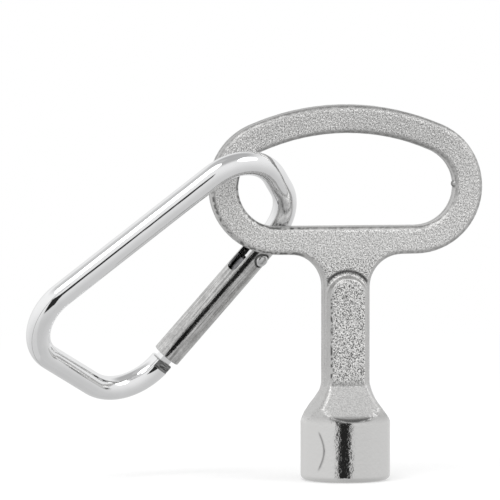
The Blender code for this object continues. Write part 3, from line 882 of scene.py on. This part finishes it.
def worn_metal(name, low, high, rough_low, rough_high):
    """Plain metal with fine wear, for the rivet, the plunger and the spring."""
    s = Shader(name)
    p = s.point()
    wear = s.noise(p, WEAR_SIZE, 4.0, 0.6)
    nicks = s.noise(p, NICK_SIZE, 2.0, 0.5)
    s.set(
        Base_Color=s.tint(s.span(wear, 0.3, 0.7), low, high),
        Metallic=1.0,
        Roughness=s.span(wear, 0.3, 0.7, rough_low, rough_high),
        Normal=s.bump(nicks, 0.2, 0.03 * MM),
    )
    return s.material


# ---------- Studio ----------

def outward(azimuth, elevation):
    """The direction at an azimuth, 0 to the front and positive to the right, and an elevation."""
    level = cos(elevation)
    return Vector((sin(azimuth) * level, -cos(azimuth) * level, sin(elevation)))


def camera():
    back = outward(VIEW_AZIMUTH, VIEW_ELEVATION)
    right = Vector((cos(VIEW_AZIMUTH), sin(VIEW_AZIMUTH), 0.0))
    up = back.cross(right)
    target = Vector((0, 0, LOOK_HEIGHT)) + right * LOOK_ACROSS + up * LOOK_UP
    lens = bpy.data.cameras.new("view")
    lens.sensor_width = SENSOR
    lens.lens = SENSOR * VIEW_DISTANCE / VIEW_WIDTH
    turn = Matrix((right, up, back)).transposed().to_4x4()
    made = bpy.data.objects.new("view", lens)
    made.matrix_world = Matrix.Translation(target + back * VIEW_DISTANCE) @ turn
    bpy.context.scene.collection.objects.link(made)
    bpy.context.scene.camera = made


def floor():
    """A large pale disc that fades to plain white away from the object, unseen in reflections."""
    form = bmesh.new()
    bmesh.ops.create_circle(form, cap_ends=True, radius=FLOOR_RADIUS, segments=96)
    mesh = bpy.data.meshes.new("floor")
    form.to_mesh(mesh)
    form.free()
    made = bpy.data.objects.new("floor", mesh)
    made.location.z = CAD_BOX[0][2] - FLOOR_DROP
    made.visible_glossy = False
    bpy.context.scene.collection.objects.link(made)
    s = Shader("pale_floor")
    away = s.span(s.length(s.point()), *FLOOR_FADES)
    glow = s.node("ShaderNodeEmission", {"Strength": s.mix(away, FLOOR_GLOW, 1.0)}).outputs["Emission"]
    grey = (FLOOR_GREY, FLOOR_GREY, FLOOR_GREY, 1.0)
    matt = s.node("ShaderNodeBsdfDiffuse", {"Color": grey}).outputs["BSDF"]
    black = s.node("ShaderNodeBsdfDiffuse", {"Color": (*BLACK, 1.0)}).outputs["BSDF"]
    skin = s.node("ShaderNodeMixShader", {0: away, 1: matt, 2: black}).outputs[0]
    total = s.node("ShaderNodeAddShader", {0: skin, 1: glow}).outputs[0]
    s.feed(s.tree.nodes["Material Output"].inputs["Surface"], total)
    mesh.materials.append(s.material)


def surroundings():
    """A light tent: soft white walls, a dimmer roof, and a dark door where the camera stands."""
    world = bpy.data.worlds.new("tent")
    world.use_nodes = True
    bpy.context.scene.world = world
    t = Nodes(world.node_tree)

    def step(value, low, high, to_low=0.0, to_high=1.0):
        return t.span(value, radians(low), radians(high), to_low, to_high, interpolation_type="SMOOTHSTEP")

    def band(value, low, top, soft):
        """1 from the low to the top angle, with soft edges, and 0 elsewhere."""
        rise = step(value, low - soft, low + soft)
        fall = step(value, top - soft, top + soft, 1.0, 0.0)
        return t.times(rise, fall)

    across, deep, high = t.split(t.node("ShaderNodeTexCoord").outputs["Generated"])
    azimuth = t.math("ARCTAN2", across, t.times(deep, -1.0))
    elevation = t.math("ARCSINE", high)
    level = step(elevation, *TENT_RISE, *TENT_LEVELS)
    left = t.times(band(azimuth, *LEFT_WALL), LEFT_WALL_EXTRA)
    right = t.times(band(azimuth, *RIGHT_WALL), RIGHT_WALL_EXTRA)
    level = t.plus(level, t.plus(left, right))
    level = t.minus(level, t.times(step(elevation, *ROOF_STARTS), ROOF_LOSS))
    door = t.times(band(azimuth, *DOOR_ACROSS), band(elevation, *DOOR_UP))
    level = t.times(level, t.minus(1.0, t.times(door, DOOR_LOSS)))
    seen = t.node("ShaderNodeLightPath").outputs["Is Camera Ray"]
    tent = t.node("ShaderNodeBackground", {"Color": (1, 1, 1, 1), "Strength": level}).outputs[0]
    plain = t.node("ShaderNodeBackground", {"Color": (1, 1, 1, 1), "Strength": 1.0}).outputs[0]
    both = t.node("ShaderNodeMixShader", {0: seen, 1: tent, 2: plain}).outputs[0]
    output = t.tree.nodes.get("World Output") or t.node("ShaderNodeOutputWorld")
    t.feed(output.inputs["Surface"], both)


def soft_light(name, azimuth, elevation, power):
    data = bpy.data.lights.new(name, "AREA")
    data.shape = "DISK"
    data.size = LAMP_SIZE
    data.energy = power
    made = bpy.data.objects.new(name, data)
    out = outward(azimuth, elevation)
    made.location = Vector((0, 0, LOOK_HEIGHT)) + out * LAMP_DISTANCE
    made.rotation_euler = out.to_track_quat("Z", "Y").to_euler()
    bpy.context.scene.collection.objects.link(made)


def studio():
    bpy.context.scene.view_settings.view_transform = "Standard"
    camera()
    floor()
    surroundings()
    soft_light("soft_key", radians(-40), radians(55), 3.0)
    soft_light("soft_fill", radians(60), radians(40), 2.0)


# ---------- Assembly ----------

def dress(thing, material):
    thing.data.materials.clear()
    thing.data.materials.append(material)


def dress_node(name, material):
    for slot in frame["nodes"][name].material_slots:
        slot.material = material


dress(cast_key(), cast_zinc())
dress(carabiner_rod(), bright_aluminium())
dress(gate_tube(), brushed_gate())
dress(peened_rivet(), worn_metal("rivet_steel", (0.55, 0.55, 0.55), (0.80, 0.80, 0.80), 0.12, 0.25))
dress_node("gate_plunger", worn_metal("plunger_steel", (0.16, 0.16, 0.17), (0.30, 0.30, 0.31), 0.25, 0.40))
dress_node("gate_spring", worn_metal("spring_steel", (0.32, 0.32, 0.33), (0.50, 0.50, 0.51), 0.22, 0.35))
studio()
